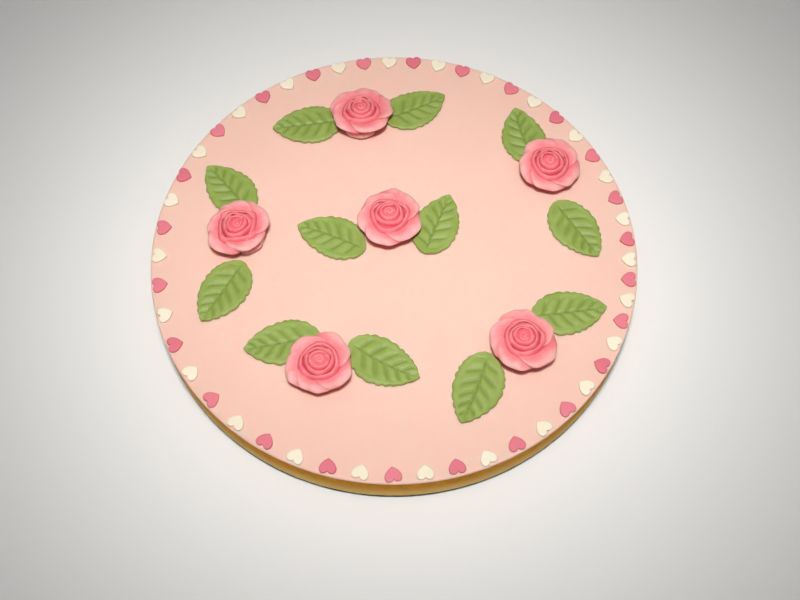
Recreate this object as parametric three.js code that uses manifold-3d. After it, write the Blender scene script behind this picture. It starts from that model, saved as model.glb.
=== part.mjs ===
// A round jelly cake: a baked crumb base, a thin set layer of pink jelly, and sugar-paste toppings.
// Six roses lie on the jelly with two leaves each, and a ring of small hearts follows the rim.
// Millimetres, +Z up. The origin is the centre of the underside, and -Y is the side nearest the viewer.

import * as THREE from "three";
import { mergeVertices } from "three/addons/utils/BufferGeometryUtils.js";
import Module from "manifold-3d";

const wasm = await Module();
wasm.setup();

// Sizes of the two layers.
const CAKE_RADIUS = 120;
const BASE_HEIGHT = 19.4;
const BASE_INSET = 0.3;
const FOOT_WIDTH = 2.5;
const FOOT_HEIGHT = 2.3;
const SHOULDER_WIDTH = 0.6;
const SHOULDER_HEIGHT = 0.8;
const JELLY_HEIGHT = 1.6;
const RIM_WIDTH = 0.9;
const RIM_HEIGHT = 0.7;
const TOP = BASE_HEIGHT + JELLY_HEIGHT;
const ROUND_SEGMENTS = 72;

// Sizes of the hearts, and of the ring that they make inside the rim.
const HEART_COUNT = 50;
const HEART_WIDTH = 8.1;
const HEART_LENGTH = 7.4;
const HEART_HEIGHT = 1.3;
const HEART_SUNK = 0.4;
const HEART_TOP_SHARE = 0.86;
const HEART_RING_RADIUS = 115.9;

// Sizes of a leaf.
const LEAF_LENGTH = 36.8;
const LEAF_WIDTH = 23.8;
const LEAF_STALK_FULLNESS = 0.57;
const LEAF_TIP_FULLNESS = 0.76;
const LEAF_THICKNESS = 1.7;
const LEAF_TOOTH = 0.9;
const LEAF_VEIN = 0.45;
const LEAF_ROWS = 14;

// Sizes of a rose. It has a narrow foot, and outer, lower and wrapped petals round a small bud.
const ROSE_FOOT_RADIUS = 7.2;
const ROSE_FOOT_LINE = [
  [ROSE_FOOT_RADIUS, 0],
  [ROSE_FOOT_RADIUS + 0.6, 2.8],
  [ROSE_FOOT_RADIUS + 1.2, 4.2],
];
const BUD_RADIUS = 2.7;
const BUD_HEIGHT = 11.3;
const BUD_EDGE = 1.1;

// The kinds of petal. A line runs from a petal's root to its lip, as the [radius, height] points of a
// curve. thick is the thickness at root and lip, narrow draws the sides in towards the lip, lapOut and
// lapUp carry one side out and up over the next petal, fall lowers both sides of the lip, and sweep turns
// the lip on from the root.
const OUTER_PETAL = {
  line: [
    [6.6, 7],
    [9.4, 6.8],
    [13.6, 10],
    [15.8, 6.6],
  ],
  thick: [1.5, 1],
  narrow: 0.28,
  lapOut: -0.3,
  lapUp: -0.7,
  fall: 0.3,
  sweep: 0.6,
};
const LOWER_PETAL = {
  line: [
    [6.8, 3.2],
    [9, 5.6],
    [12, 5.2],
    [12.6, 1.4],
  ],
  thick: [1.4, 1],
  narrow: 0.2,
  lapOut: 0,
  lapUp: 0,
  fall: 0,
  sweep: 0,
};
const WRAPPED_PETAL = {
  thick: [1.2, 0.9],
  narrow: 0,
  lapOut: 0.25,
  lapUp: 0.25,
  fall: 0.4,
  sweep: 0,
};

// The three rings of wrapped petals, from the widest to the one round the bud. Their lines lean inwards.
// foot is the share of the line from which a ring rises out of the rose, and swept is how far the ring's
// columns follow the sweep of the outer petals. Each ring starts RING_TURN, in radians, after the last.
const WIDE_RING = {
  line: [
    [9.4, 6.8],
    [9.2, 8.2],
    [8.6, 9.2],
    [7.6, 9.6],
  ],
  foot: 0.35,
  swept: 0.35,
};
const MIDDLE_RING = {
  line: [
    [6.9, 8.2],
    [6.8, 9.3],
    [6.3, 10],
    [5.5, 10.3],
  ],
  foot: 0.15,
  swept: 0.2,
  count: 3,
};
const NARROW_RING = {
  line: [
    [4.8, 9.2],
    [4.7, 10.1],
    [4.3, 10.7],
    [3.6, 10.9],
  ],
  foot: 0.15,
  swept: 0.1,
  count: 2,
};
const RING_TURN = 1.2;

// How far, in radians, an outer petal reaches past its border with the next, and the half span of a lower
// one. A body has this many columns to each outer petal, and stops this short of each border.
const OUTER_LAP = 0.3;
const LOWER_HALF_SPAN = 0.75;
const PETAL_COLUMNS = 6;
const PETAL_SEAM = 0.06;

// The outer petals stand clear of the foot from this share of their length, and their upper faces have rows
// of points at these shares.
const UNDERSIDE_START = 0.6;
const UPPER_ROWS = [1, 0.82, 0.67];

// A wrapped petal is squared over this angle, in radians, to each side of its middle.
const SQUARED_SPAN = 0.72;

// The head of a rose is tipped about the first height, and its foot bends from the second one up.
const TIP_HEIGHT = 4;
const TIP_START = 1;

// A topping lies on the jelly with this much air under it, and a leaf is kept out of this room round the
// foot of its rose.
const REST_GAP = 0.3;
const FOOT_ROOM_RADIUS = ROSE_FOOT_RADIUS + 1;
const FOOT_ROOM_HEIGHT = 20;
const FOOT_ROOM_SEGMENTS = 24;

const radians = THREE.MathUtils.degToRad;

// A closed surface as a solid that can be joined to others.
function solidOf(geometry) {
  const bare = geometry.clone();
  bare.deleteAttribute("normal");
  bare.deleteAttribute("uv");
  const merged = mergeVertices(bare, 1e-4);
  return new wasm.Manifold(
    new wasm.Mesh({
      numProp: 3,
      vertProperties: new Float32Array(merged.getAttribute("position").array),
      triVerts: new Uint32Array(merged.index.array),
    }),
  );
}

// The largest body of a joined solid as a surface. Pockets that the joining sealed are filled.
function surfaceOf(joined) {
  const bodies = joined.decompose();
  bodies.sort((a, b) => b.volume() - a.volume());
  const mesh = bodies[0].getMesh();
  const geometry = new THREE.BufferGeometry();
  geometry.setAttribute("position", new THREE.BufferAttribute(mesh.vertProperties, 3));
  geometry.setIndex(new THREE.BufferAttribute(mesh.triVerts, 1));
  geometry.computeVertexNormals();
  return geometry;
}

// A body turned about the upright axis from a profile of [radius, height] points.
function turned(profile, segments) {
  const points = profile.map(([radius, height]) => new THREE.Vector2(radius, height));
  return new THREE.LatheGeometry(points, segments).rotateX(Math.PI / 2);
}

// A thin sheet of paste, across by along cells, each point of which is put in place by a function.
// u runs from -1 to 1 across it, w from 0 to 1 along it, and side is 1 on its upper or outer face.
function sheet(across, along, place) {
  const box = new THREE.BoxGeometry(2, 1, 2, across, along, 1);
  const at = box.getAttribute("position");
  for (let i = 0; i < at.count; i += 1) {
    const point = place(at.getX(i), at.getY(i) + 0.5, at.getZ(i));
    at.setXYZ(i, point.x, point.y, point.z);
  }
  // The lower face is split along the same diagonals as the upper one.
  const lower = box.groups[5];
  for (let i = lower.start; i < lower.start + lower.count; i += 6) {
    const [a, b, d, , c] = box.index.array.slice(i, i + 6);
    box.index.array.set([a, b, c, a, c, d], i);
  }
  return box;
}

// The baked base: a flat disc with a rounded foot, so that it stands on a slightly smaller circle.
function crumbBase() {
  const wall = CAKE_RADIUS - BASE_INSET;
  const foot = wall - FOOT_WIDTH;
  return turned(
    [
      [0, 0],
      [foot, 0],
      [foot + 0.65 * FOOT_WIDTH, 0.3 * FOOT_HEIGHT],
      [wall, FOOT_HEIGHT],
      [wall, BASE_HEIGHT - SHOULDER_HEIGHT],
      [wall - SHOULDER_WIDTH, BASE_HEIGHT],
      [0, BASE_HEIGHT],
    ],
    ROUND_SEGMENTS,
  );
}

// The jelly: a thin disc with a rounded rim.
function jellyDisc() {
  return turned(
    [
      [0, BASE_HEIGHT],
      [CAKE_RADIUS, BASE_HEIGHT],
      [CAKE_RADIUS, TOP - RIM_HEIGHT],
      [CAKE_RADIUS - 0.3 * RIM_WIDTH, TOP - 0.3 * RIM_HEIGHT],
      [CAKE_RADIUS - RIM_WIDTH, TOP],
      [0, TOP],
    ],
    ROUND_SEGMENTS,
  );
}

// One heart, its point towards -Y, with sides that slope in to a smaller upper face.
function heart() {
  const side = HEART_WIDTH / 2;
  const point = -HEART_LENGTH * 0.54;
  const lobe = HEART_LENGTH * 0.46;
  const notch = HEART_LENGTH * 0.29;
  const flank = new THREE.CubicBezierCurve(
    new THREE.Vector2(0, point),
    new THREE.Vector2(side * 0.62, point * 0.64),
    new THREE.Vector2(side, point * 0.16),
    new THREE.Vector2(side, notch * 0.5),
  );
  const lobeCurve = new THREE.CubicBezierCurve(
    new THREE.Vector2(side, notch * 0.5),
    new THREE.Vector2(side, lobe * 1.14),
    new THREE.Vector2(side * 0.22, lobe * 1.16),
    new THREE.Vector2(0, notch),
  );
  const right = [...flank.getPoints(2), ...lobeCurve.getPoints(3).slice(1)];
  const left = right.slice(1, -1).reverse().map((p) => new THREE.Vector2(-p.x, p.y));
  const block = new THREE.ExtrudeGeometry(new THREE.Shape([...right, ...left]), {
    depth: HEART_SUNK + HEART_HEIGHT,
    bevelEnabled: false,
  });
  const at = block.getAttribute("position");
  for (let i = 0; i < at.count; i += 1) {
    if (at.getZ(i) > 0) {
      at.setXY(i, at.getX(i) * HEART_TOP_SHARE, at.getY(i) * HEART_TOP_SHARE);
    }
  }
  return block;
}

// The place of one heart: they stand wider apart at the left of the cake and closer at the right,
// each a little turned and a little in or out of line, with its point towards the middle.
function heartPlace(k) {
  const step = (2 * Math.PI * k) / HEART_COUNT;
  const wide = 3.3 + 1.4 * Math.cos(step) - 7 * Math.sin(step) - 1.1 * Math.cos(2 * step);
  const middling = -0.5 * Math.cos(3 * step) - 0.75 * Math.sin(3 * step);
  const close = -0.45 * Math.cos(4 * step) - 0.65 * Math.sin(4 * step);
  const angle = step + radians(wide + middling + close);
  const radius = HEART_RING_RADIUS + 0.15 * Math.sin(2.3 * k) + 0.2 * Math.sin(angle);
  const twist = radians(11 * Math.sin(3.7 * k + 1));
  return new THREE.Matrix4()
    .makeRotationZ(angle - Math.PI / 2 + twist)
    .setPosition(radius * Math.cos(angle), radius * Math.sin(angle), TOP - HEART_SUNK);
}

function jellyTop() {
  const pieces = [solidOf(jellyDisc())];
  for (let k = 0; k < HEART_COUNT; k += 1) {
    pieces.push(solidOf(heart().applyMatrix4(heartPlace(k))));
  }
  return surfaceOf(wasm.Manifold.union(pieces));
}

// Half the width of a leaf at a share q of its length: a rounded stalk end and a pointed tip.
function leafHalfWidth(q) {
  const power = (base, exponent) => Math.max(base, 0.004) ** exponent;
  const swell = (at) => power(at, LEAF_STALK_FULLNESS) * power(1 - at, LEAF_TIP_FULLNESS);
  const widestAt = LEAF_STALK_FULLNESS / (LEAF_STALK_FULLNESS + LEAF_TIP_FULLNESS);
  return ((LEAF_WIDTH / 2) * swell(q)) / swell(widestAt);
}

// One leaf, its stalk end at the origin and its tip along +Y, bent so that its ends and edges lift, and
// with its midrib bowed to one side by curve. Rows of points sweep from the midrib towards the tip, as the
// side veins do.
function leaf(bend, curve) {
  return sheet(4, LEAF_ROWS, (u, w, side) => {
    const row = Math.round(w * LEAF_ROWS);
    const along = 0.5 * w + 0.25 * (1 - Math.cos(Math.PI * w));
    const q = along + 0.36 * Math.abs(u) * along * (1 - along);
    const tooth = row % 2 === 0 && row > 0 && row < LEAF_ROWS ? LEAF_TOOTH : 0;
    const half = Math.max(leafHalfWidth(q) - tooth * Math.abs(u) ** 3, 0.4);
    const lift = bend * (0.5 * u ** 2 + 2 * (q - 0.5) ** 2);
    const groove = u === 0 ? LEAF_VEIN : 0;
    const vein = Math.abs(u) === 0.5 && row % 2 === 0 ? LEAF_VEIN : 0;
    const edge = 0.5 * u ** 4;
    const thickness = side > 0 ? LEAF_THICKNESS - groove - vein - edge : 0;
    const bow = curve * 4 * q * (1 - q);
    return new THREE.Vector3(u * half - bow, q * LEAF_LENGTH, lift + thickness);
  });
}

// A point of a petal. u runs from -1 to 1 across it, w from 0 at its root to 1 at its lip, and side is 1
// on its upper face and -1 on its lower face.
function petalPoint(kind, petal, u, w, side) {
  const root = kind.line[0][0];
  const points = kind.line.map(
    ([radius, height]) => new THREE.Vector2(root + (radius - root) * petal.stretch, height),
  );
  const curve = new THREE.CubicBezierCurve(...points);
  const ahead = curve.getTangent(w);
  const half = (kind.thick[0] + (kind.thick[1] - kind.thick[0]) * w) / 2;
  const spot = curve.getPoint(w).add(new THREE.Vector2(-ahead.y, ahead.x).multiplyScalar(side * half));
  const turn = u * (u < 0 ? petal.before : petal.after);
  const inward = kind.narrow * (0.5 * Math.abs(u) ** 1.4 + 0.8 * Math.abs(u) ** 5);
  const corner = petal.square * (1 / Math.cos(Math.min(Math.abs(turn), SQUARED_SPAN)) - 1);
  const radius = (root + (spot.x - root) * (1 - inward)) * (1 + corner) + kind.lapOut * u;
  const lift = kind.lapUp * u * (0.3 + 0.7 * w) - kind.fall * w * Math.abs(u) ** 3;
  const angle = petal.middle + turn + kind.sweep * (w - 1);
  return new THREE.Vector3(radius * Math.cos(angle), radius * Math.sin(angle), spot.y + lift);
}

// The outer petals of a rose from the angle in degrees and the reach of each. Each one runs to the borders
// half way to its neighbours, and a little past them.
function outerPetals(outer) {
  const root = OUTER_PETAL.line[0][0];
  const lip = OUTER_PETAL.line[3][0];
  const halfWay = (from, to) => radians(THREE.MathUtils.euclideanModulo(to - from, 360)) / 2;
  return outer.map(([angle, reach], i) => ({
    middle: radians(angle),
    before: halfWay(outer.at(i - 1)[0], angle) + OUTER_LAP,
    after: halfWay(angle, outer[(i + 1) % outer.length][0]) + OUTER_LAP,
    stretch: (reach - root) / (lip - root),
    square: 0,
  }));
}

// A point on the outside of a ring of wrapped petals at an angle round the rose. Each petal runs outwards
// as it goes round, and so stands out over the start of the next. square is how far the ring is from round.
function wrappedPoint({ line, count, turn, square }, angle, w) {
  const sector = (2 * Math.PI) / count;
  const middle = turn + sector * Math.round((angle - turn) / sector);
  const petal = { middle, before: sector / 2, after: sector / 2, stretch: 1, square };
  return petalPoint({ line, ...WRAPPED_PETAL }, petal, (angle - middle) / (sector / 2), w, -1);
}

// The rose without its lower petals, as one surface. Its rows run from the middle of the underside out
// along the foot and the outer petals to their lip, and back over the wrapped rings to the bud. Round it,
// each outer petal has the columns between its borders. angle is that of a row's own sweep.
function roseBody(petals, rings) {
  const round = (radius, height, w) => ({
    w,
    point: ({ angle }) => new THREE.Vector3(radius * Math.cos(angle), radius * Math.sin(angle), height),
  });
  const outer = (w, side) => ({
    w,
    point: ({ petal, u }) => petalPoint(OUTER_PETAL, petal, u, w, side),
  });
  const wrapped = (ring, w) => ({
    w: ring.swept,
    point: ({ angle }) => wrappedPoint(ring, angle, w),
  });
  const rows = [
    round(0, 0, UNDERSIDE_START),
    ...ROSE_FOOT_LINE.map(([radius, height]) => round(radius, height, UNDERSIDE_START)),
    outer(UNDERSIDE_START, -1),
    outer(1, -1),
    ...UPPER_ROWS.map((w) => outer(w, 1)),
    ...rings.flatMap((ring) => [wrapped(ring, ring.foot), wrapped(ring, 1)]),
    round(BUD_RADIUS, BUD_HEIGHT - BUD_EDGE, 0),
    round(BUD_RADIUS * 0.8, BUD_HEIGHT - 0.2 * BUD_EDGE, 0),
    round(0, BUD_HEIGHT, 0),
  ];
  const columns = petals.length * PETAL_COLUMNS;
  const last = rows.length - 1;
  const blank = turned(rows.map((_, i) => [i % last === 0 ? 0 : 1, i]), columns);
  const at = blank.getAttribute("position");
  for (let i = 0; i < at.count; i += 1) {
    const row = rows[i % rows.length];
    const column = Math.floor(i / rows.length) % columns;
    const petal = petals[Math.floor(column / PETAL_COLUMNS)];
    const v = (2 * (column % PETAL_COLUMNS)) / (PETAL_COLUMNS - 1) - 1;
    const span = v < 0 ? petal.before : petal.after;
    const offset = v * (span - OUTER_LAP - PETAL_SEAM);
    const angle = petal.middle + offset + OUTER_PETAL.sweep * (row.w - 1);
    const point = row.point({ petal, angle, u: offset / span });
    at.setXYZ(i, point.x, point.y, point.z);
  }
  return blank;
}

// A petal that droops below the outer ones. Its points run round the rose clockwise, so that its faces look
// outwards.
function lowerPetal([angle, reach]) {
  const lip = LOWER_PETAL.line[3][0];
  const petal = {
    middle: radians(angle),
    before: LOWER_HALF_SPAN,
    after: LOWER_HALF_SPAN,
    stretch: reach / lip,
    square: 0,
  };
  return sheet(4, 2, (u, w, side) => petalPoint(LOWER_PETAL, petal, -u, w, side));
}

// One rose, with its head tipped over from the foot. turn is where its wrapped petals start, in degrees.
function rose({ tilt, towards, turn, inner, square, lower, outer }) {
  const start = radians(turn);
  const rings = [
    { ...WIDE_RING, count: inner, turn: start, square },
    { ...MIDDLE_RING, turn: start + RING_TURN, square: square / 2 },
    { ...NARROW_RING, turn: start + 2 * RING_TURN, square: square / 3 },
  ];
  const body = roseBody(outerPetals(outer), rings);
  const pieces = [body, ...lower.map(lowerPetal)];
  const surface = surfaceOf(wasm.Manifold.union(pieces.map(solidOf)));
  const lean = radians(towards);
  const axis = new THREE.Vector3(-Math.sin(lean), Math.cos(lean), 0);
  const pivot = new THREE.Vector3(0, 0, TIP_HEIGHT);
  const at = surface.getAttribute("position");
  for (let i = 0; i < at.count; i += 1) {
    const upright = new THREE.Vector3().fromBufferAttribute(at, i);
    const tipped = upright.clone().sub(pivot).applyAxisAngle(axis, radians(tilt)).add(pivot);
    const share = THREE.MathUtils.clamp((upright.z - TIP_START) / (TIP_HEIGHT - TIP_START), 0, 1);
    upright.lerp(tipped, share);
    at.setXYZ(i, upright.x, upright.y, upright.z);
  }
  return surface;
}

const cake = new THREE.Group();
cake.name = "jelly_cake";

function add(name, geometry, colour, roughness) {
  const material = new THREE.MeshStandardMaterial({ color: colour, roughness, metalness: 0 });
  const mesh = new THREE.Mesh(geometry, material);
  mesh.name = name;
  cake.add(mesh);
  return mesh;
}

add("crumb_base", crumbBase(), 0xb98a45, 0.85);
add("jelly_top", jellyTop(), 0xf7cdb8, 0.35);

// The six sprays, each a rose with its two leaves. A rose has its place on the jelly, the way and the angle
// that its head is tipped, where its wrapped petals start, how many the widest ring has and how far it is
// squared, and the angle and reach of each lower and outer petal. A leaf has the place of its tip, the way
// that the tip points, its size, how far its ends and edges lift, and its curve. Angles are in degrees.
const SPRAYS = [
  {
    name: "back",
    at: [-16.5, 78.4],
    rose: {
      tilt: 8,
      towards: 90,
      turn: 40,
      inner: 3,
      square: 0.25,
      lower: [[264, 12.8]],
      outer: [[30, 16.9], [92, 16.6], [150, 16.8], [218, 15.5], [318, 15.7]],
    },
    leaves: [
      { name: "left", tip: [-62.6, 73.1], points: -172.3, size: 0.985, bend: 0.5, curve: 0.4 },
      { name: "right", tip: [27.4, 93.2], points: 23.8, size: 0.985, bend: 0.4, curve: -1.4 },
    ],
  },
  {
    name: "right",
    at: [79.1, 45.6],
    rose: {
      tilt: 4,
      towards: 290,
      turn: 100,
      inner: 3,
      square: 0.2,
      lower: [],
      outer: [[67, 16.2], [130, 15.6], [196, 15.6], [272, 15.3], [336, 15.8]],
    },
    leaves: [
      { name: "upper", tip: [64.1, 84.4], points: 105.7, size: 0.985, bend: 0.6, curve: 1.6 },
      { name: "lower", tip: [100.6, -4.5], points: -58.4, size: 1, bend: 0.5, curve: -0.2 },
    ],
  },
  {
    name: "centre",
    at: [-2.3, 15.2],
    rose: {
      tilt: 2,
      towards: 60,
      turn: 200,
      inner: 3,
      square: 0.35,
      lower: [],
      outer: [[75, 17], [132, 15.2], [200, 15.8], [255, 16.7], [326, 16.4]],
    },
    leaves: [
      { name: "left", tip: [-48, 14.3], points: 157.1, size: 0.995, bend: 0.6, curve: -1.2 },
      { name: "right", tip: [28.3, 31.2], points: 68.1, size: 0.98, bend: 0.7, curve: 0.2 },
    ],
  },
  {
    name: "left",
    at: [-76.9, 9.7],
    rose: {
      tilt: 5,
      towards: 130,
      turn: 0,
      inner: 4,
      square: 0.6,
      lower: [[322, 14.4]],
      outer: [[50, 16.7], [112, 16], [172, 14.8], [232, 16.3], [310, 15]],
    },
    leaves: [
      { name: "upper", tip: [-95.1, 49.6], points: 128.9, size: 0.995, bend: 0.5, curve: -1 },
      { name: "lower", tip: [-92.7, -38.3], points: -120.2, size: 1.01, bend: 0.4, curve: 0.1 },
    ],
  },
  {
    name: "front_right",
    at: [60.8, -52.3],
    rose: {
      tilt: 3,
      towards: 110,
      turn: 300,
      inner: 3,
      square: 0.25,
      lower: [],
      outer: [[45, 14.8], [104, 16.3], [187, 16.4], [248, 16.5], [322, 16.8]],
    },
    leaves: [
      { name: "outer", tip: [102.1, -32.5], points: 7, size: 1, bend: 0.6, curve: -0.5 },
      { name: "inner", tip: [30.3, -91.5], points: -111.4, size: 1.03, bend: 0.4, curve: 1.1 },
    ],
  },
  {
    name: "front_left",
    at: [-35.1, -63.2],
    rose: {
      tilt: 2,
      towards: 200,
      turn: 150,
      inner: 3,
      square: 0.2,
      lower: [],
      outer: [[62, 16.2], [148, 15.4], [206, 16.4], [264, 15.3], [328, 15.9]],
    },
    leaves: [
      { name: "outer", tip: [-71.6, -53.3], points: -168.6, size: 1, bend: 0.4, curve: 0.6 },
      { name: "inner", tip: [11.4, -68.8], points: -29.6, size: 1.03, bend: 0.5, curve: -1.6 },
    ],
  },
];

for (const spray of SPRAYS) {
  const [x, y] = spray.at;
  const flower = rose(spray.rose).translate(x, y, TOP + REST_GAP);
  add("rose_" + spray.name, flower, 0xf07080, 0.6);
  // A leaf that reaches under the rose is trimmed to clear the rose's foot.
  const room = [FOOT_ROOM_RADIUS, FOOT_ROOM_RADIUS, FOOT_ROOM_HEIGHT, FOOT_ROOM_SEGMENTS];
  const footRoom = new THREE.CylinderGeometry(...room).rotateX(Math.PI / 2).translate(x, y, TOP);
  for (const { name, tip, points, size, bend, curve } of spray.leaves) {
    const blade = leaf(bend, curve)
      .translate(0, -LEAF_LENGTH, TOP + REST_GAP)
      .scale(size, size, 1)
      .rotateZ(radians(points) - Math.PI / 2)
      .translate(tip[0], tip[1], 0);
    const trimmed = solidOf(blade).subtract(solidOf(footRoom));
    add("leaf_" + spray.name + "_" + name, surfaceOf(trimmed), 0x8fae58, 0.55);
  }
}

export default cake;
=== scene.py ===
import math
import random

import bmesh
import bpy
from mathutils import Matrix, Vector, noise


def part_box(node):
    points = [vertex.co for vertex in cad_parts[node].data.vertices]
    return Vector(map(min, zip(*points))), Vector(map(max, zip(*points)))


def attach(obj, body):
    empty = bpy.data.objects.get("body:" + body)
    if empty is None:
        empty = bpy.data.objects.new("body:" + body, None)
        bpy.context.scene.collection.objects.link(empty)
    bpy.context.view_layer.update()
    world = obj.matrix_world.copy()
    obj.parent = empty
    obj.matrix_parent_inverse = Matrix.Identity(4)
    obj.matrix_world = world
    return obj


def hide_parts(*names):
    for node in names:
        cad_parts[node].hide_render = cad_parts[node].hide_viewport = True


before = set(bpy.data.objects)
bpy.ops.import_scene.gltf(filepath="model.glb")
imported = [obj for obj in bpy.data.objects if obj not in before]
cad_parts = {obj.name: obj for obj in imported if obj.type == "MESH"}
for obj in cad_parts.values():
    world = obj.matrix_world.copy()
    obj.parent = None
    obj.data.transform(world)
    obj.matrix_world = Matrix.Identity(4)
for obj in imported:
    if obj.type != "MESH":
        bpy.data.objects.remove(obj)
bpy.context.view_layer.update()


# Crumb base
# A low disc of buttered biscuit crumb, pressed into a round tin and baked until golden brown.
# The tin leaves its wall upright and nearly smooth, with a rounded foot, round which the wall is painted
# near black as painted shade.
# Over the wall's lower part, paler tan stands for painted reflected light.

MM = 0.001
BASE_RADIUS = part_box("crumb_base")[1].x
BASE_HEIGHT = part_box("crumb_base")[1].z
BASE_STEPS = 480
MERGE_DISTANCE = 0.001 * MM
UNDERSIDE_RING = 0.6 * BASE_RADIUS
FOOT_FLAT = (4 * MM, 2.5 * MM)
FOOT_ROUNDING = 2.3 * MM
FOOT_STEPS = 6
WALL_ROWS = 22
SHOULDER_DROP = 0.8 * MM
SHOULDER = ((0.2 * MM, 0.3 * MM), (0.6 * MM, 0))
CRUMB_BAND = 3 * MM
CRUMB_MARGIN = 0.1 * MM
CRUMB_RELIEF = 0.12 * MM
CRUMB_FULLNESS = 0.4
CRUMB_GRAIN = 2.6 * MM
CRUMB_FRACTAL = (0.8, 2.0, 2)
FINE_CRUMBS = 0.9 * MM
LUMPS = 3.2 * MM
PALE_SHARE = 0.4
# Painted reflected light, paler tan, over the wall's lower part:
BOUNCE_LIGHT_BAND = (5 * MM, 14 * MM)
BOUNCE_LIGHT_WANDER = 4 * MM
# Painted shade, near black, round the foot:
FOOT_SHADE_BAND = (2.4 * MM, 3.45 * MM)
FOOT_SHADE_WANDER = 1.2 * MM
CRUMB_GOLD = (0.78, 0.342, 0.018, 1)
CRUMB_DARK = (0.68, 0.280, 0.012, 1)
CRUMB_PALE = (0.83, 0.460, 0.120, 1)
CRUMB_BOUNCE_LIGHT = (0.78, 0.530, 0.180, 1)
CRUMB_FOOT_SHADE = (0.018, 0.009, 0.004, 1)


def turned(bm, profile, steps):
    """Spins a profile of (radius, height) points into a closed body round the upright axis."""
    line = [bm.verts.new((radius, 0, height)) for radius, height in profile]
    edges = [bm.edges.new(pair) for pair in zip(line, line[1:])]
    bmesh.ops.spin(
        bm, geom=line + edges, cent=(0, 0, 0), axis=(0, 0, 1),
        angle=2 * math.pi, steps=steps, use_merge=True,
    )
    bmesh.ops.remove_doubles(bm, verts=bm.verts, dist=MERGE_DISTANCE)
    bmesh.ops.recalc_face_normals(bm, faces=bm.faces)


def placed(name, data):
    """A new object of the scene, at the origin."""
    made = bpy.data.objects.new(name, data)
    bpy.context.scene.collection.objects.link(made)
    return made


def mesh_of(name, bm, material):
    """Ends a bmesh as a mesh with its material."""
    mesh = bpy.data.meshes.new(name)
    bm.to_mesh(mesh)
    bm.free()
    mesh.materials.append(material)
    return mesh


def piece(name, bm, material, slot, *nodes):
    """A finished piece, which rides with the cake and stands for its solids."""
    for face in bm.faces:
        face.smooth = True
    made = placed(name, mesh_of(name, bm, material))
    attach(made, "root")
    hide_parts(*nodes)
    return made


class Paint:
    """A value in a material's node tree. Sums on paints add Math nodes to the tree."""

    # The sockets of a Mix node that take and give colours.
    COLOUR_A, COLOUR_B, COLOUR_OUT = 6, 7, 2

    def __init__(self, tree, socket=None):
        self.tree = tree
        self.socket = socket

    def node(self, kind, settings=None, sockets=None, output=0):
        made = self.tree.nodes.new(kind)
        for name, value in (settings or {}).items():
            setattr(made, name, value)
        for name, value in (sockets or {}).items():
            if isinstance(value, Paint):
                self.tree.links.new(value.socket, made.inputs[name])
            else:
                made.inputs[name].default_value = value
        return Paint(self.tree, made.outputs[output])

    def math(self, operation, first, second):
        return self.node("ShaderNodeMath", {"operation": operation}, {0: first, 1: second})

    def __add__(self, other):
        return self.math("ADD", self, other)

    def __radd__(self, other):
        return self.math("ADD", other, self)

    def __sub__(self, other):
        return self.math("SUBTRACT", self, other)

    def __rsub__(self, other):
        return self.math("SUBTRACT", other, self)

    def __mul__(self, other):
        return self.math("MULTIPLY", self, other)

    def __rmul__(self, other):
        return self.math("MULTIPLY", other, self)

    def place(self):
        return self.node("ShaderNodeTexCoord", output="Object")

    def height(self):
        return self.node("ShaderNodeSeparateXYZ", {}, {0: self.place()}, "Z")

    def layer(self, name):
        return self.node("ShaderNodeAttribute", {"attribute_name": name}, output="Fac")

    def grain(self, size, detail=3, roughness=0.55):
        sockets = {"Vector": self.place(), "Scale": 1 / size, "Detail": detail, "Roughness": roughness}
        return self.node("ShaderNodeTexNoise", {}, sockets, "Fac")

    def step(self, value, low, high):
        sockets = {"Value": value, "From Min": low, "From Max": high}
        return self.node("ShaderNodeMapRange", {"interpolation_type": "SMOOTHSTEP"}, sockets, "Result")

    def blend(self, share, first, second):
        sockets = {"Factor": share, self.COLOUR_A: first, self.COLOUR_B: second}
        return self.node("ShaderNodeMix", {"data_type": "RGBA"}, sockets, self.COLOUR_OUT)

    def relief(self, height, depth):
        return self.node("ShaderNodeBump", {}, {"Height": height, "Distance": depth, "Strength": 1.0})


def finish(name, constants):
    """A new material, with the values that are the same all over it set on its shader."""
    material = bpy.data.materials.new(name)
    material.use_nodes = True
    shader = material.node_tree.nodes["Principled BSDF"]
    for socket, value in constants.items():
        shader.inputs[socket].default_value = value
    return material, shader, Paint(material.node_tree)


def feed(shader, **sockets):
    """Links what changes over the surface to the shader."""
    for name, paint in sockets.items():
        paint.tree.links.new(paint.socket, shader.inputs[name.replace("_", " ").title()])


crumb, crumb_shader, paint = finish("baked_crumb", {"Specular IOR Level": 0.1})
fine = paint.grain(FINE_CRUMBS, detail=4, roughness=0.7)
lumps = paint.grain(LUMPS)
# Paler tan painted reflected light over the wall's lower part.
bounce_light = 1 - paint.step(paint.height() + (lumps - 0.5) * BOUNCE_LIGHT_WANDER, *BOUNCE_LIGHT_BAND)
# Near black painted shade round the foot.
foot_shade = 1 - paint.step(paint.height() + (lumps - 0.5) * FOOT_SHADE_WANDER, *FOOT_SHADE_BAND)
golden = paint.blend(paint.step(lumps, low=0.36, high=0.64), CRUMB_DARK, CRUMB_GOLD)
golden = paint.blend(paint.step(fine, low=0.58, high=0.74) * PALE_SHARE, golden, CRUMB_PALE)
golden = paint.blend(bounce_light, golden, CRUMB_BOUNCE_LIGHT)
feed(
    crumb_shader,
    base_color=paint.blend(foot_shade, golden, CRUMB_FOOT_SHADE),
    roughness=0.62 + fine * 0.3,
    normal=paint.relief(fine * 0.6 + lumps * 0.4, depth=0.35 * MM),
)

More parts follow.
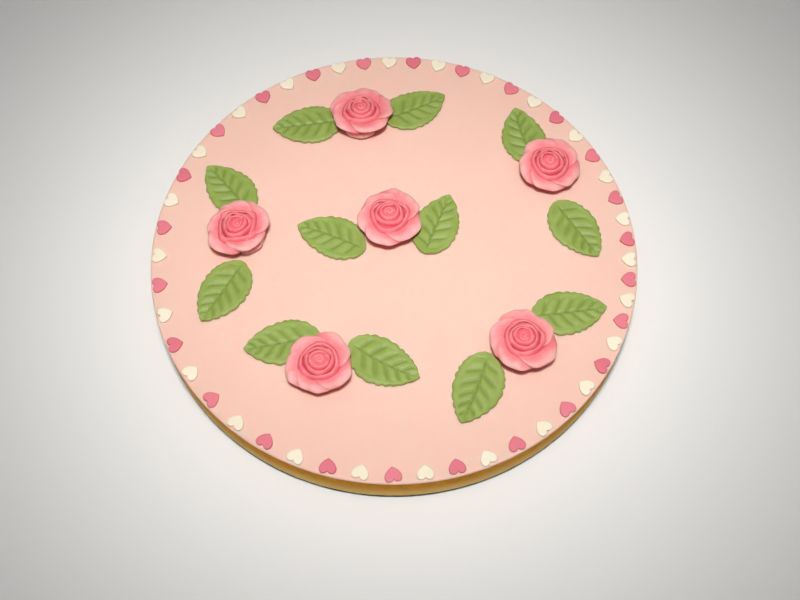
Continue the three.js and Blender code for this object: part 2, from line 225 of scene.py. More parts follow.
bm = bmesh.new()
upright = BASE_HEIGHT - FOOT_ROUNDING - SHOULDER_DROP
profile = [(0, 0), (UNDERSIDE_RING, 0)] + [(BASE_RADIUS - inward, 0) for inward in FOOT_FLAT]
for k in range(1, FOOT_STEPS + 1):
    turn = math.pi / 2 * k / FOOT_STEPS
    inward = FOOT_ROUNDING * (1 - math.sin(turn))
    profile.append((BASE_RADIUS - inward, FOOT_ROUNDING * (1 - math.cos(turn))))
for k in range(1, WALL_ROWS + 1):
    profile.append((BASE_RADIUS, FOOT_ROUNDING + upright * k / WALL_ROWS))
profile += [(BASE_RADIUS - inward, BASE_HEIGHT - down) for inward, down in SHOULDER] + [(0, BASE_HEIGHT)]
turned(bm, profile, BASE_STEPS)
for vert in bm.verts:
    out = Vector((vert.co.x, vert.co.y, 0))
    between_ends = CRUMB_MARGIN < vert.co.z < BASE_HEIGHT - CRUMB_MARGIN
    if between_ends and out.length > BASE_RADIUS - CRUMB_BAND:
        push = noise.fractal(vert.co / CRUMB_GRAIN, *CRUMB_FRACTAL)
        vert.co -= out.normalized() * CRUMB_RELIEF * max(push + CRUMB_FULLNESS, 0)
piece("pressed_crumb_base", bm, crumb, "crumb", "crumb_base")


# Jelly
# A thin layer of milky pink jelly, poured over the baked base and set in the tin, so its top is flat
# and smooth. Where it met the tin its edge is rounded, with a faint raised line left along the rim.

CAKE_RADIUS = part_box("jelly_top")[1].x
JELLY_HEIGHT = 1.6 * MM
TOP = BASE_HEIGHT + JELLY_HEIGHT
JELLY_STEPS = 360
JELLY_RINGS = 26
JELLY_UNDERSIDE_RING = 0.7 * CAKE_RADIUS
# The edge's points: in from the wall, and up from the jelly's underside or from its top, in millimetres.
JELLY_FOOT = ((0.6, 0), (0.1, 0.15), (0, 0.5))
JELLY_RIM = ((0, -0.6), (0.15, -0.2), (0.5, 0.02), (1, 0.07), (1.8, 0.05), (3, 0))
JELLY_CLOUDS = 45 * MM
JELLY_RIPPLES = 9 * MM
JELLY_FLECKS = 2.2 * MM
FLECK_SHARE = 0.35
JELLY_PINK = (0.930, 0.560, 0.460, 1)
JELLY_ROSY = (0.925, 0.545, 0.445, 1)
JELLY_CREAM = (0.950, 0.610, 0.520, 1)

jelly, jelly_shader, paint = finish(
    "milky_jelly",
    {
        "Specular IOR Level": 0.22,
        "Subsurface Weight": 0.5,
        "Subsurface Radius": (1.0, 0.25, 0.18),
        "Subsurface Scale": 4 * MM,
    },
)
clouds = paint.step(paint.grain(JELLY_CLOUDS), low=0.3, high=0.7)
flecks = paint.grain(JELLY_FLECKS, detail=2)
ripples = paint.grain(JELLY_RIPPLES, detail=2)
tone = paint.blend(clouds, JELLY_ROSY, JELLY_PINK)
feed(
    jelly_shader,
    base_color=paint.blend(paint.step(flecks, low=0.66, high=0.8) * FLECK_SHARE, tone, JELLY_CREAM),
    roughness=0.46 + clouds * 0.08 + flecks * 0.06,
    normal=paint.relief(ripples * 0.7 + flecks * 0.3, depth=0.12 * MM),
)

bm = bmesh.new()
skin = [(0, BASE_HEIGHT), (JELLY_UNDERSIDE_RING, BASE_HEIGHT)]
skin += [(CAKE_RADIUS - inward * MM, BASE_HEIGHT + up * MM) for inward, up in JELLY_FOOT]
skin += [(CAKE_RADIUS - inward * MM, TOP + up * MM) for inward, up in JELLY_RIM]
flat_radius = skin[-1][0]
skin += [(flat_radius * (1 - k / JELLY_RINGS), TOP) for k in range(1, JELLY_RINGS)] + [(0, TOP)]
turned(bm, skin, JELLY_STEPS)
piece("pink_jelly_layer", bm, jelly, "jelly", "jelly_top")


# Hearts
# Small pressed-sugar hearts, pink and white in turn, laid by hand on the jelly just inside the rim
# with their points towards the middle. They are flat, with softly rounded edges, and a little crooked.

HEART_COUNT = 50
HEART_WIDTH = 8.1 * MM
HEART_LENGTH = 7.4 * MM
HEART_HALF = HEART_WIDTH / 2
HEART_POINT = -0.54 * HEART_LENGTH
HEART_LOBE = 0.46 * HEART_LENGTH
HEART_NOTCH = 0.29 * HEART_LENGTH
HEART_FLANK = (
    (0, HEART_POINT), (0.62 * HEART_HALF, 0.64 * HEART_POINT),
    (HEART_HALF, 0.16 * HEART_POINT), (HEART_HALF, 0.5 * HEART_NOTCH),
)
HEART_SHOULDER = (
    (HEART_HALF, 0.5 * HEART_NOTCH), (HEART_HALF, 1.14 * HEART_LOBE),
    (0.22 * HEART_HALF, 1.16 * HEART_LOBE), (0, HEART_NOTCH),
)
HEART_POINTS = 36
HEART_SUNK = 0.4 * MM
HEART_HEIGHT = 1.3 * MM
HEART_SETTLED = 0.98
# Rows up the rounded edge and over the top: a share of the height, and the size against the row before.
HEART_ROWS = ((0.7, 0.985), (0.9, 0.965), (1.0, 0.926), (1.04, 0.705), (1.03, 0.484))
HEART_RING_RADIUS = 115.9 * MM
HEART_WANDER = 0.15 * MM
HEART_BACK_SHIFT = 0.2 * MM
HEART_TWIST = 11
# How far the places stray from even ones, in degrees: waves round the rim, and their cosine and sine.
HEART_START = 3.3
HEART_STRAY = ((1, 1.4, -7), (2, -1.1, 0), (3, -0.5, -0.75), (4, -0.45, -0.65))
SUGAR_GRIT = 0.5 * MM
OWN_TONE_SHARE = 0.6
GRIT_SHARE = 0.4
HEART_COLOURS = {
    "pink": ((0.80, 0.225, 0.270, 1), (0.71, 0.150, 0.200, 1)),
    "white": ((0.91, 0.810, 0.640, 1), (0.86, 0.760, 0.580, 1)),
}


def bezier(a, b, c, d, t):
    """A point on a cubic curve."""
    s = 1 - t
    return s**3 * Vector(a) + 3 * s * s * t * Vector(b) + 3 * s * t * t * Vector(c) + t**3 * Vector(d)


def heart_outline(share):
    """A point of the heart's outline, from its point round one side to the notch and back."""
    way = 4 * min(share, 1 - share)
    spot = bezier(*HEART_FLANK, way) if way <= 1 else bezier(*HEART_SHOULDER, way - 1)
    return spot if share <= 0.5 else Vector((-spot.x, spot.y))


def uneven(number, beat, start=0):
    """A heart's own value between -1 and 1."""
    return math.sin(beat * number + start)


def add_heart(bm, number, tones):
    """Lays one heart on the jelly: a plate with a rounded upper edge, its underside sunk in a little."""
    even = 2 * math.pi * number / HEART_COUNT
    stray = HEART_START
    for waves, cosine, sine in HEART_STRAY:
        stray += cosine * math.cos(waves * even) + sine * math.sin(waves * even)
    angle = even + math.radians(stray)
    radius = HEART_RING_RADIUS + HEART_BACK_SHIFT * math.sin(angle)
    radius += HEART_WANDER * uneven(number, beat=2.3)
    twist = math.radians(HEART_TWIST * uneven(number, beat=3.7, start=1))
    put = Matrix.Translation((radius * math.cos(angle), radius * math.sin(angle), TOP - HEART_SUNK))
    put = put @ Matrix.Rotation(angle - math.pi / 2 + twist, 4, "Z")
    ring = bmesh.ops.create_circle(bm, cap_ends=True, segments=HEART_POINTS, radius=1)["verts"]
    for k, vert in enumerate(ring):
        vert.co = heart_outline(k / HEART_POINTS).to_3d()
    underside = ring[0].link_faces[0]
    grown = bmesh.ops.extrude_face_region(bm, geom=[underside], use_keep_orig=True)["geom"]
    plate = next(item for item in grown if isinstance(item, bmesh.types.BMFace))
    verts = list(ring)
    for row in HEART_ROWS:
        rise, taper = row
        height = (HEART_SUNK + HEART_HEIGHT * rise) * HEART_SETTLED
        for vert in plate.verts:
            vert.co = (vert.co.x * taper, vert.co.y * taper, height)
        verts += plate.verts
        if row != HEART_ROWS[-1]:
            plate = bmesh.ops.extrude_discrete_faces(bm, faces=[plate])["faces"][0]
    tone = 0.5 + 0.5 * uneven(number, beat=4.3, start=0.7)
    for vert in verts:
        vert[tones] = tone
    bmesh.ops.transform(bm, matrix=put, verts=verts)


for first, (name, (light, deep)) in enumerate(HEART_COLOURS.items()):
    sugar, sugar_shader, paint = finish(
        f"pressed_{name}_sugar",
        {
            "Specular IOR Level": 0.3,
            "Subsurface Weight": 0.15,
            "Subsurface Radius": (1.0, 0.6, 0.5),
            "Subsurface Scale": 1 * MM,
        },
    )
    grit = paint.grain(SUGAR_GRIT, roughness=0.7)
    depth = paint.layer("tone") * OWN_TONE_SHARE + paint.step(grit, low=0.4, high=0.75) * GRIT_SHARE
    feed(
        sugar_shader,
        base_color=paint.blend(depth, light, deep),
        roughness=0.5 + grit * 0.2,
        normal=paint.relief(grit, depth=0.1 * MM),
    )
    bm = bmesh.new()
    tones = bm.verts.layers.float.new("tone")
    for number in range(first, HEART_COUNT, len(HEART_COLOURS)):
        add_heart(bm, number, tones)
    bmesh.ops.recalc_face_normals(bm, faces=bm.faces)
    piece(f"sugar_hearts_{name}", bm, sugar, f"heart_{name}", "jelly_top")


# Leaves
# Sugar-paste leaves, cut with a toothed cutter and pressed in a veined mould. Each lies on the jelly
# with its stalk end against or under its rose, and its edges and ends lift a little as it dries.

REST_GAP = 0.3 * MM
LEAF_LENGTH = 36.8 * MM
LEAF_WIDTH = 23.8 * MM
LEAF_STALK_FULLNESS = 0.57
LEAF_TIP_FULLNESS = 0.76
LEAF_BLUNT_END = 0.004
LEAF_LEAST_HALF = 0.35 * MM
LEAF_LEAN = 0.85
LEAF_GRID = (26, 84)
LEAF_THICKNESS = 1.55 * MM
LEAF_EDGE_LIFT = 0.5
LEAF_END_LIFT = 2
TEETH = 9
TOOTH_DEPTH = 1.05 * MM
TOOTH_ROUNDNESS = 0.7
TOOTH_EDGE_ONLY = 6
TOOTH_STRAY = 0.35
TOOTH_PLACE_WAVE = 9
TOOTH_DEPTH_WAVE = 14
VEINS = 6.5
VEIN_ROUNDNESS = 0.5
VEIN_STAGGER = 0.5
VEIN_DEPTH = 0.85 * MM
VEIN_PUFF = 0.3 * MM
VEIN_FIELD = 0.55
VEIN_FIELD_FADE = 0.16
MIDRIB_WIDTH = 0.5 * MM
# Where the vein field and the midrib start and end along the leaf, and how steeply they come and go.
VEIN_FIELD_ENDS = (0.05, 0.96, 10, 9)
MIDRIB_ENDS = (0.05, 0.97, 12, 6)
RIM_LINE = 0.86
RIM_WIDTH = 0.1
RIM_HEIGHT = 0.2 * MM
RIM_ROUNDING = 0.8 * MM
RIM_SHARPNESS = 10
LEAF_MOTTLE = 7 * MM
LEAF_PORES = 0.7 * MM
GROOVE_SHADE_SHARE = 0.8
LEAF_GREEN = (0.250, 0.335, 0.062, 1)
# Painted shade in the vein grooves:
LEAF_GROOVE_SHADE = (0.150, 0.225, 0.032, 1)
LEAF_LIGHT = (0.295, 0.385, 0.086, 1)
ROSE_FOOT_RADIUS = 7.2 * MM
FOOT_ROOM = ROSE_FOOT_RADIUS + 1 * MM

# The roses' centres, in millimetres.
ROSE_PLACES = {
    "back": (-16.5, 78.4),
    "right": (79.1, 45.6),
    "centre": (-2.3, 15.2),
    "left": (-76.9, 9.7),
    "front_right": (60.8, -52.3),
    "front_left": (-35.1, -63.2),
}
# Each leaf's rose, the place of its tip in millimetres, the way it points in degrees, its size, and how
# far it lifts and bows to the side in millimetres.
LEAVES = {
    "back_left": ("back", -62.6, 73.1, -172.3, 0.985, 0.5, 0.4),
    "back_right": ("back", 27.4, 93.2, 23.8, 0.985, 0.4, -1.4),
    "right_upper": ("right", 64.1, 84.4, 105.7, 0.985, 0.6, 1.6),
    "right_lower": ("right", 100.6, -4.5, -58.4, 1, 0.5, -0.2),
    "centre_left": ("centre", -48, 14.3, 157.1, 0.995, 0.6, -1.2),
    "centre_right": ("centre", 28.3, 31.2, 68.1, 0.98, 0.7, 0.2),
    "left_upper": ("left", -95.1, 49.6, 128.9, 0.995, 0.5, -1),
    "left_lower": ("left", -92.7, -38.3, -120.2, 1.01, 0.4, 0.1),
    "front_right_outer": ("front_right", 102.1, -32.5, 7, 1, 0.6, -0.5),
    "front_right_inner": ("front_right", 30.3, -91.5, -111.4, 1.03, 0.4, 1.1),
    "front_left_outer": ("front_left", -71.6, -53.3, -168.6, 1, 0.4, 0.6),
    "front_left_inner": ("front_left", 11.4, -68.8, -29.6, 1.03, 0.5, -1.6),
}

leaf_paste, leaf_shader, paint = finish(
    "green_sugar_paste",
    {
        "Specular IOR Level": 0.4,
        "Subsurface Weight": 0.15,
        "Subsurface Radius": (0.6, 1.0, 0.25),
        "Subsurface Scale": 0.8 * MM,
    },
)
mottle = paint.grain(LEAF_MOTTLE)
pores = paint.grain(LEAF_PORES, roughness=0.6)
green = paint.blend(paint.step(mottle, low=0.3, high=0.7), LEAF_GREEN, LEAF_LIGHT)
feed(
    leaf_shader,
    # The vein grooves are painted darker olive, painted shade.
    base_color=paint.blend(paint.layer("groove") * GROOVE_SHADE_SHARE, green, LEAF_GROOVE_SHADE),
    roughness=0.4 + pores * 0.2,
    normal=paint.relief(pores * 0.6 + mottle * 0.4, depth=0.1 * MM),
)


def limited(value):
    """A value kept between 0 and 1."""
    return min(max(value, 0), 1)


def drawn_in(at, start, end, rise, fall):
    """1 along the leaf, and falling to 0 at a start and an end short of the leaf's own."""
    return min(limited(rise * (at - start)), limited(fall * (end - at)))


def paste_sheet(bm, across, along, place):
    """A thin closed sheet of paste.

    place gives each vertex its spot, from u (-1 to 1) across, w (0 to 1) along and the side (-1 or 1).
    """
    lower = bmesh.ops.create_grid(bm, x_segments=across, y_segments=along, size=1)["verts"]
    faces = list(dict.fromkeys(face for vert in lower for face in vert.link_faces))
    grown = bmesh.ops.extrude_face_region(bm, geom=faces, use_keep_orig=True)["geom"]
    upper = [item for item in grown if isinstance(item, bmesh.types.BMVert)]
    for verts, side in ((lower, -1), (upper, 1)):
        for vert in verts:
            vert.co = place(vert, vert.co.x, 0.5 + 0.5 * vert.co.y, side)


def soften(made, levels):
    """Rounds off a piece of paste."""
    soft = made.modifiers.new("soft_edge", "SUBSURF")
    soft.levels = levels
    soft.render_levels = levels


def leaf_half_width(q):
    """Half the leaf's width at a share q of its length: a rounded stalk end and a pointed tip."""
    widest = LEAF_STALK_FULLNESS / (LEAF_STALK_FULLNESS + LEAF_TIP_FULLNESS)
    here, most = (
        max(at, LEAF_BLUNT_END) ** LEAF_STALK_FULLNESS * max(1 - at, LEAF_BLUNT_END) ** LEAF_TIP_FULLNESS
        for at in (q, widest)
    )
    return LEAF_WIDTH / 2 * here / most


def leaf_mesh(bend, curve, heading):
    """A leaf that points along +Y, its tip at the origin, puffed between its veins inside a plain rim."""
    bm = bmesh.new()
    groove_shades = bm.verts.layers.float.new("groove")

    def place(vert, u, w, side):
        along = 0.5 * w + 0.25 * (1 - math.cos(math.pi * w))
        q = along + LEAF_LEAN * abs(u) * along * (1 - along)
        stagger = VEIN_STAGGER if u > 0 else 0
        teeth = TEETH * q + TOOTH_STRAY * math.sin(TOOTH_PLACE_WAVE * q + heading) + stagger
        tooth = abs(math.sin(math.pi * teeth)) ** TOOTH_ROUNDNESS
        notch = TOOTH_DEPTH * (1 + TOOTH_STRAY * math.sin(TOOTH_DEPTH_WAVE * q + 2 * heading))
        half = max(leaf_half_width(q) - notch * (1 - tooth) * abs(u) ** TOOTH_EDGE_ONLY, LEAF_LEAST_HALF)
        pillow = abs(math.sin(math.pi * (VEINS * along + stagger))) ** VEIN_ROUNDNESS
        field = 1 - limited((abs(u) - VEIN_FIELD) / VEIN_FIELD_FADE)
        field *= drawn_in(along, *VEIN_FIELD_ENDS)
        midrib = math.exp(-((u * half / MIDRIB_WIDTH) ** 2)) * drawn_in(q, *MIDRIB_ENDS)
        groove = max(midrib, (1 - pillow) * field)
        # The grooves on the top side carry painted shade.
        vert[groove_shades] = groove if side > 0 else 0
        rim = RIM_HEIGHT * math.exp(-(((abs(u) - RIM_LINE) / RIM_WIDTH) ** 2))
        rim -= RIM_ROUNDING * abs(u) ** RIM_SHARPNESS
        height = bend * MM * (LEAF_EDGE_LIFT * u * u + LEAF_END_LIFT * (q - 0.5) ** 2)
        if side > 0:
            height += LEAF_THICKNESS - VEIN_DEPTH * groove + VEIN_PUFF * pillow * field + rim
        bow = curve * MM * 4 * q * (1 - q)
        return Vector((u * half - bow, (q - 1) * LEAF_LENGTH, height))

    paste_sheet(bm, *LEAF_GRID, place)
    bmesh.ops.recalc_face_normals(bm, faces=bm.faces)
    return bm


for name, (rose, tip_x, tip_y, points, size, bend, curve) in LEAVES.items():
    heading = math.radians(points)
    bm = leaf_mesh(bend, curve, heading)
    put = Matrix.Translation((tip_x * MM, tip_y * MM, TOP + REST_GAP))
    put = put @ Matrix.Rotation(heading - math.pi / 2, 4, "Z") @ Matrix.Diagonal((size, size, 1, 1))
    bmesh.ops.transform(bm, matrix=put, verts=bm.verts)
    centre = Vector((*ROSE_PLACES[rose], 0)) * MM
    for vert in bm.verts:
        away = Vector((vert.co.x, vert.co.y, 0)) - centre
        if away.length < FOOT_ROOM:
            moved = centre + away.normalized() * FOOT_ROOM
            vert.co = (moved.x, moved.y, vert.co.z)
    soften(piece(f"paste_leaf_{name}", bm, leaf_paste, "leaf_paste", f"leaf_{name}"), levels=1)


# Roses
# Each rose is rolled by hand from pink sugar paste: a strip wound into a bud, wrapped petals round it,
# and outer petals pressed on below that flare out and curl down at the lip over a narrow foot.

# The petals' lines from root to lip and the core's outline, as (radius, height) in millimetres.
OUTER_LINE = ((6.6, 7.0), (9.4, 6.8), (13.6, 10.0), (15.8, 6.6))
LOWER_LINE = ((6.8, 3.2), (9.0, 5.6), (12.0, 5.2), (12.6, 1.4))
WIDE_LINE = ((9.4, 6.8), (9.2, 8.2), (8.6, 9.2), (7.6, 9.6))
MIDDLE_LINE = ((6.9, 8.2), (6.8, 9.3), (6.3, 10.0), (5.5, 10.3))
NARROW_LINE = ((4.8, 9.2), (4.7, 10.1), (4.3, 10.7), (3.6, 10.9))
ROSE_CORE = (
    (0, 0), (7.2, 0), (7.6, 1.2), (7.8, 2.8), (8.4, 4.2), (8.8, 5.6), (8.8, 6.8), (8.0, 8.0),
    (6.9, 8.9), (5.2, 9.7), (3.6, 10.2), (2.4, 10.4), (1.0, 10.6), (0, 10.7),
)
CORE_STEPS = 28
CORE_TOP = 10 * MM
CORE_TOP_PAINTED_LIGHT = 0.3
# What all petals of a kind share, in millimetres and radians. Thickness and painted light go from root to
# lip, from painted shade at the root to a painted highlight at the lip.
LOWER_PETAL = dict(narrow=0.2, thick=(1.4, 1.0))
OUTER_PETAL = dict(narrow=0.28, lap=(-0.3, -1.0), fall=0.3, sweep=0.6, painted_light_range=(0.2, 1.05))
RING_PETAL = dict(thick=(1.2, 1.0), painted_light_range=(0.05, 0.64))
LOWER_SPAN = 0.75
OUTER_OVERLAP = 0.3
RING_OVERLAP = 0.25
RING_STRAY = 0.12
RING_TURN = 70
# The wrapped rings: line, lap, fall, and how far each shares the rose's squareness and its bud's shift.
RINGS = (
    (WIDE_LINE, (0.4, 0.3), 0.5, 1, 0),
    (MIDDLE_LINE, (0.35, 0.25), 0.4, 0.5, 0.5),
    (NARROW_LINE, (0.3, 0.2), 0.3, 0.3, 1),
)
MIDDLE_COUNT = 3
NARROW_COUNT = 2
# The forms of a petal and of the bud's coil, in millimetres and as shares.
PETAL_GRID = (14, 8)
PETAL_TAPER = ((0.5, 1.4), (0.8, 5))
PETAL_THINNING = 0.3
LINE_STEP = 0.03
LAP_GROWTH = (0.3, 1)
SQUARE_LIMIT = 0.72
OUTER_FRILL = 0.3
RING_FRILL = 0.15
WAVE_STARTS = (0, 6)
RIPPLE_PACE = 4
RIPPLES = ((1, 1), (3, 0.8))
CORNERS = 1.2
CORNER_MEAN = 0.4
CORNER_REACH = 0.05
CORNER_LIFT = 0.4
TUCK_START = 0.3
TUCK_LENGTH = 0.4
TUCK_SHADE = 0.5
COIL_GRID = (24, 4)
COIL_TURNS = 1.5
COIL_START = 0.4
COIL_GROWTH = 1.9
COIL_HALF_THICKNESS = 0.45
COIL_FOOT = 9
COIL_HEIGHT = 2.2
COIL_SLOPE = 0.3
COIL_BEVEL = 0.15
# The coil's painted light, from painted shade low down to a little painted highlight at its top:
COIL_PAINTED_LIGHT = (0.25, 0.65)
LEAN_FROM = 1 * MM
LEAN_FULL = 4 * MM
ROSE_BLUSH = 5 * MM
ROSE_DUSTING = 0.6 * MM
BLUSH_SHARE = 0.5
ROSE_PINK = (0.83, 0.210, 0.232, 1)
# The paste is pink; the deep red below is painted shade and the pale pink a painted highlight.
ROSE_PAINTED_SHADE = (0.78, 0.088, 0.132, 1)
ROSE_PAINTED_HIGHLIGHT = (0.905, 0.440, 0.415, 1)
# Each rose's tilt and the way it leans, the turn of its rings, the shift of its bud, how square its wide
# ring is and how many petals that has, and the angle and reach of each lower and outer petal, in degrees
# and millimetres.
ROSES = {
    "back": dict(
        tilt=8, towards=90, turn=40, bud=(0, 0.6), square=0.25, inner=3, lower=((264, 12.8),),
        outer=((30, 16.9), (92, 16.6), (150, 16.8), (218, 15.5), (318, 15.7)),
    ),
    "right": dict(
        tilt=4, towards=290, turn=100, bud=(-0.5, 0.6), square=0.2, inner=3, lower=(),
        outer=((67, 16.2), (130, 15.6), (196, 15.6), (272, 15.3), (336, 15.8)),
    ),
    "centre": dict(
        tilt=2, towards=60, turn=200, bud=(0, 1.2), square=0.35, inner=3, lower=(),
        outer=((75, 17.0), (132, 15.2), (200, 15.8), (255, 16.7), (326, 16.4)),
    ),
    "left": dict(
        tilt=5, towards=130, turn=0, bud=(0, 0.3), square=0.6, inner=4, lower=((322, 14.4),),
        outer=((50, 16.7), (112, 16.0), (172, 14.8), (232, 16.3), (310, 15.0)),
    ),
    "front_right": dict(
        tilt=3, towards=110, turn=300, bud=(-0.3, 0.2), square=0.25, inner=3, lower=(),
        outer=((45, 14.8), (104, 16.3), (187, 16.4), (248, 16.5), (322, 16.8)),
    ),
    "front_left": dict(
        tilt=2, towards=200, turn=150, bud=(0.2, 0.2), square=0.2, inner=3, lower=(),
        outer=((62, 16.2), (148, 15.4), (206, 16.4), (264, 15.3), (328, 15.9)),
    ),
}

rose_paste, rose_shader, paint = finish(
    "pink_sugar_paste",
    {
        "Specular IOR Level": 0.3,
        "Subsurface Weight": 0.1,
        "Subsurface Radius": (1.0, 0.6, 0.6),
        "Subsurface Scale": 1.0 * MM,
    },
)
blush = paint.grain(ROSE_BLUSH)
dusting = paint.grain(ROSE_DUSTING, roughness=0.6)
# The layer from root to lip is painted light: deep red painted shade at roots, in creases and on
# undersides, and a pale painted highlight at lips. The blush adds random tone.
painted_light = paint.layer("painted_light") + (blush - 0.5) * BLUSH_SHARE
pink = paint.blend(paint.step(painted_light, low=0.1, high=0.6), ROSE_PAINTED_SHADE, ROSE_PINK)
feed(
    rose_shader,
    base_color=paint.blend(paint.step(painted_light, low=0.5, high=1.05), pink, ROSE_PAINTED_HIGHLIGHT),
    roughness=0.48 + dusting * 0.2,
    normal=paint.relief(dusting * 0.5 + blush * 0.5, depth=0.08 * MM),
)


def mixed(pair, share):
    """A value between the two of a pair."""
    return pair[0] + (pair[1] - pair[0]) * share


def spun(radius, angle, height, shift):
    """A point round a rose's axis, or round one shifted from it."""
    return Vector((radius * math.cos(angle) + shift[0], radius * math.sin(angle) + shift[1], height)) * MM


def add_petal(
    bm, painted_light_layer, line, middle, spans, reach=1, narrow=0, lap=(0, 0), fall=0, flat=0,
    thick=(1.5, 1.0), sweep=0, painted_light_range=(0, 1), shift=(0, 0),
):
    """One petal of a rose. Its line runs from root to lip, and spans are its angles to either side."""
    root = line[0][0]
    line = [((radius - root) * reach + root, height) for radius, height in line]
    wave = random.uniform(*WAVE_STARTS)
    frill = OUTER_FRILL if sweep else RING_FRILL

    def place(vert, u, w, side):
        turned_by = u * spans[1 if u > 0 else 0]
        spot = bezier(*line, w)
        ahead = bezier(*line, min(w + LINE_STEP, 1)) - bezier(*line, max(w - LINE_STEP, 0))
        across = Vector((-ahead.y, ahead.x)).normalized()
        spot += side * across * 0.5 * mixed(thick, w) * (1 - PETAL_THINNING * abs(u) ** 4)
        swing = RIPPLE_PACE * u + wave
        ripple = frill * w * w * sum(share * math.sin(times * swing) for times, share in RIPPLES)
        corner = ((2 * ((CORNERS * u + wave) % 1) - 1) ** 2 - CORNER_MEAN) * w * w
        taper = sum(share * abs(u) ** power for share, power in PETAL_TAPER)
        radius = root + (spot.x - root) * (1 - narrow * taper)
        radius *= 1 + flat * (1 / math.cos(min(abs(turned_by), SQUARE_LIMIT)) - 1)
        radius *= 1 + CORNER_REACH * corner
        radius += lap[0] * u + ripple
        height = spot.y + mixed(LAP_GROWTH, w) * lap[1] * u - w * fall * abs(u) ** 3
        height += ripple + CORNER_LIFT * corner
        # Painted shade: the outer petals' undersides take the full deep red, and the part of a petal
        # tucked under the next one is darker.
        tucked = limited((u - TUCK_START) / TUCK_LENGTH) if sweep else 0
        shaded = 0 if sweep and side < 0 else 1 - TUCK_SHADE * tucked
        vert[painted_light_layer] = mixed(painted_light_range, w) * shaded
        return spun(radius, middle + turned_by + sweep * (w - 1), height, shift)

    paste_sheet(bm, *PETAL_GRID, place)


def lean(bm, tilt, towards):
    """Tips a rose over above its foot, which stays flat on the jelly."""
    way = math.radians(towards)
    axis = Vector((-math.sin(way), math.cos(way), 0))
    tip_over = Matrix.Rotation(math.radians(tilt), 3, axis)
    pivot = Vector((0, 0, LEAN_FULL))
    for vert in bm.verts:
        share = limited((vert.co.z - LEAN_FROM) / (LEAN_FULL - LEAN_FROM))
        vert.co = vert.co.lerp(tip_over @ (vert.co - pivot) + pivot, share)


def rose_mesh(tilt, towards, turn, bud, square, inner, lower, outer):
    """A rose that stands on its foot at the origin."""
    bm = bmesh.new()
    painted_light_layer = bm.verts.layers.float.new("painted_light")
    turned(bm, [(radius * MM, height * MM) for radius, height in ROSE_CORE], CORE_STEPS)
    for vert in bm.verts:
        # The core's top takes a little painted light; the rest of the core is deep red painted shade.
        vert[painted_light_layer] = CORE_TOP_PAINTED_LIGHT if vert.co.z > CORE_TOP else 0
    for angle, reach in lower:
        add_petal(
            bm, painted_light_layer, LOWER_LINE, math.radians(angle), (LOWER_SPAN, LOWER_SPAN),
            reach / LOWER_LINE[-1][0], **LOWER_PETAL,
        )
    angles = [math.radians(angle) for angle, reach in outer]
    root, end = OUTER_LINE[0][0], OUTER_LINE[-1][0]
    for i, middle in enumerate(angles):
        before = (middle - angles[i - 1]) % (2 * math.pi) / 2
        after = (angles[(i + 1) % len(angles)] - middle) % (2 * math.pi) / 2
        add_petal(
            bm, painted_light_layer, OUTER_LINE, middle, (before + OUTER_OVERLAP, after + OUTER_OVERLAP),
            (outer[i][1] - root) / (end - root), **OUTER_PETAL,
        )
    for count, (line, lap, fall, squareness, off) in zip((inner, MIDDLE_COUNT, NARROW_COUNT), RINGS):
        span = math.pi / count + RING_OVERLAP
        for i in range(count):
            stray = random.uniform(-RING_STRAY, RING_STRAY)
            middle = math.radians(turn) + 2 * math.pi * i / count + stray
            add_petal(
                bm, painted_light_layer, line, middle, (span, span), lap=lap, fall=fall, flat=squareness * square,
                shift=(off * bud[0], off * bud[1]), **RING_PETAL,
            )
        turn += RING_TURN

    def coil(vert, u, w, side):
        share = (u + 1) / 2
        angle = math.radians(turn) + share * COIL_TURNS * 2 * math.pi
        radius = COIL_START + COIL_GROWTH * share + side * COIL_HALF_THICKNESS
        height = COIL_FOOT + (COIL_HEIGHT - COIL_SLOPE * share - COIL_BEVEL * side) * w
        vert[painted_light_layer] = mixed(COIL_PAINTED_LIGHT, w)
        return spun(radius, angle, height, bud)

    paste_sheet(bm, *COIL_GRID, coil)
    bmesh.ops.recalc_face_normals(bm, faces=bm.faces)
    lean(bm, tilt, towards)
    return bm


random.seed(6)
for name, rose in ROSES.items():
    bm = rose_mesh(**rose)
    centre = Vector((*ROSE_PLACES[name], 0)) * MM
    bmesh.ops.translate(bm, verts=bm.verts, vec=centre + Vector((0, 0, TOP + REST_GAP)))
    soften(piece(f"paste_rose_{name}", bm, rose_paste, "rose_paste", f"rose_{name}"), levels=2)


# Studio
# A plain pale floor, two soft lamps side by side high above the cake's front, each turned to its own half
# of it, one very broad soft lamp straight above, a weak even light all round, and the camera.

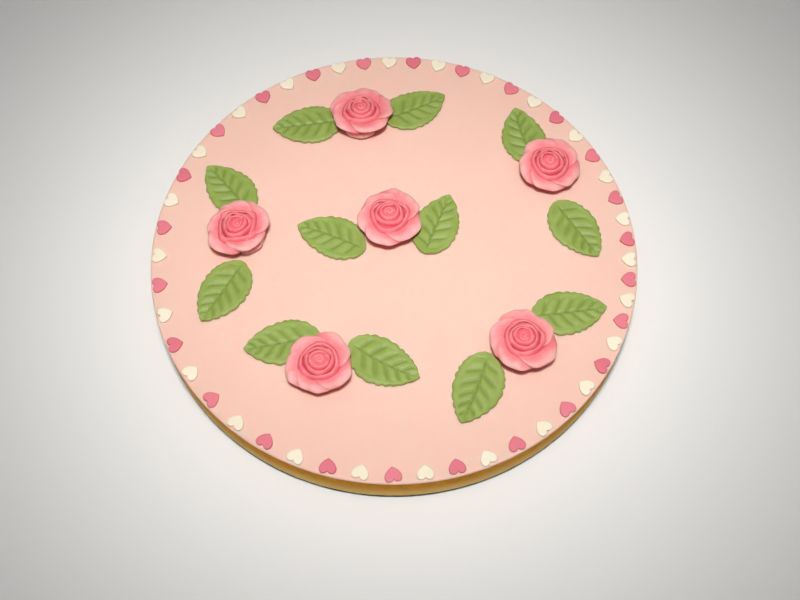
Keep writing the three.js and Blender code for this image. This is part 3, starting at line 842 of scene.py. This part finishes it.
FLOOR_HALF = 2.5
FLOOR_SQUARES = 8
FLOOR_WASH = 300 * MM
FLOOR_PALE = (0.82, 0.81, 0.79, 1)
FLOOR_PALEST = (0.86, 0.85, 0.83, 1)
LAMP_SIZE = 0.12
LAMP_SPREAD = math.radians(40)
LAMP_POWER = 0.25
LAMP_PLACE = Vector((-0.002, -0.216, TOP + 0.877))
LAMP_APART = Vector((0.02, 0, 0))
LAMP_AIM = Vector((0.004, 0, TOP))
LAMP_AIM_APART = Vector((0.09, 0, 0))
BROAD_LAMP_SIZE = 2.0
BROAD_LAMP_POWER = 4.5
BROAD_LAMP_PLACE = Vector((0, 0, TOP + 1.2))
ROOM_COLOUR = (1.0, 0.98, 0.96, 1)
ROOM_STRENGTH = 0.07
CAMERA_PLACE = Vector((0.0002, -0.2912, TOP + 0.5196))
CAMERA_AIM = Vector((0.00265, -0.0272, TOP))
CAMERA_SENSOR = 36
CAMERA_LENS = 54.14
CAMERA_NEAREST = 10 * MM

floor_finish, floor_shader, paint = finish("pale_floor", {"Specular IOR Level": 0.2})
wash = paint.grain(FLOOR_WASH, detail=2)
feed(
    floor_shader,
    base_color=paint.blend(wash, FLOOR_PALE, FLOOR_PALEST),
    roughness=0.6 + wash * 0.1,
)
bm = bmesh.new()
bmesh.ops.create_grid(bm, x_segments=FLOOR_SQUARES, y_segments=FLOOR_SQUARES, size=FLOOR_HALF)
placed("floor", mesh_of("floor", bm, floor_finish))


def aim(made, place, target):
    """Puts a lamp or the camera in its place and turns it towards a point."""
    made.location = place
    made.rotation_euler = (target - place).to_track_quat("-Z", "Y").to_euler()


for name, side in (("left", -1), ("right", 1)):
    lamp = bpy.data.lights.new(f"lamp_{name}", "AREA")
    lamp.shape = "DISK"
    lamp.size = LAMP_SIZE
    lamp.spread = LAMP_SPREAD
    lamp.energy = LAMP_POWER
    aim(placed(f"lamp_{name}", lamp), LAMP_PLACE + side * LAMP_APART, LAMP_AIM + side * LAMP_AIM_APART)

broad = bpy.data.lights.new("lamp_broad", "AREA")
broad.shape = "SQUARE"
broad.size = BROAD_LAMP_SIZE
broad.energy = BROAD_LAMP_POWER
placed("lamp_broad", broad).location = BROAD_LAMP_PLACE

world = bpy.data.worlds.new("room")
world.use_nodes = True
room = world.node_tree.nodes["Background"]
room.inputs["Color"].default_value = ROOM_COLOUR
room.inputs["Strength"].default_value = ROOM_STRENGTH
bpy.context.scene.world = world
bpy.context.scene.view_settings.view_transform = "Standard"

camera = bpy.data.cameras.new("camera")
camera.sensor_width = CAMERA_SENSOR
camera.lens = CAMERA_LENS
camera.clip_start = CAMERA_NEAREST
camera_object = placed("camera", camera)
aim(camera_object, CAMERA_PLACE, CAMERA_AIM)
bpy.context.scene.camera = camera_object
